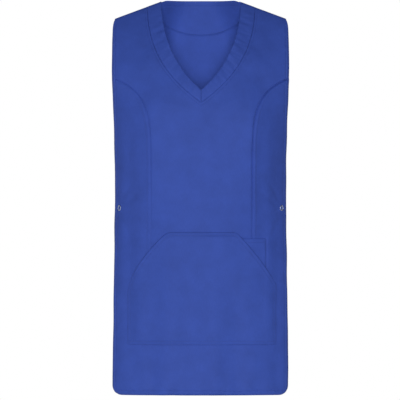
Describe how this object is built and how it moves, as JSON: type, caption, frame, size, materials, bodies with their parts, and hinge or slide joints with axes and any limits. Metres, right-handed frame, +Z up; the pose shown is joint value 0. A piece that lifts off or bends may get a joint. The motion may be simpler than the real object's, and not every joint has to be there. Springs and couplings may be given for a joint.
{
  "type": "work vest",
  "caption": "Sleeveless V-neck pull-over work vest, open down both sides, with a kangaroo pocket on the front and a snapped tab at each side of the waist.",
  "frame": {"origin": "between the high points of the two shoulders, where the wearer's shoulders hold the vest up", "axes": "+X towards the wearer's left, -Y towards the front, +Z up"},
  "size_m": [0.3838, 0.2046, 0.8533],
  "materials": {
    "vest_cloth": "matte plain-weave polyester and cotton",
    "snap_steel": "bright nickel-plated"
  },
  "bodies": {
    "root": {"front": "vest_cloth", "back": "vest_cloth", "neck_band_left": "vest_cloth", "neck_band_right": "vest_cloth", "back_neck_facing": "vest_cloth", "kangaroo_pocket": "vest_cloth", "phone_pocket": "vest_cloth", "side_tab_left": "vest_cloth", "side_tab_right": "vest_cloth", "snap_ring_left": "snap_steel", "snap_ring_right": "snap_steel", "snap_socket_left": "snap_steel", "snap_socket_right": "snap_steel", "snap_stud_left": "snap_steel", "snap_stud_right": "snap_steel", "snap_back_ring_left": "snap_steel", "snap_back_ring_right": "snap_steel"}
  },
  "joints": []
}
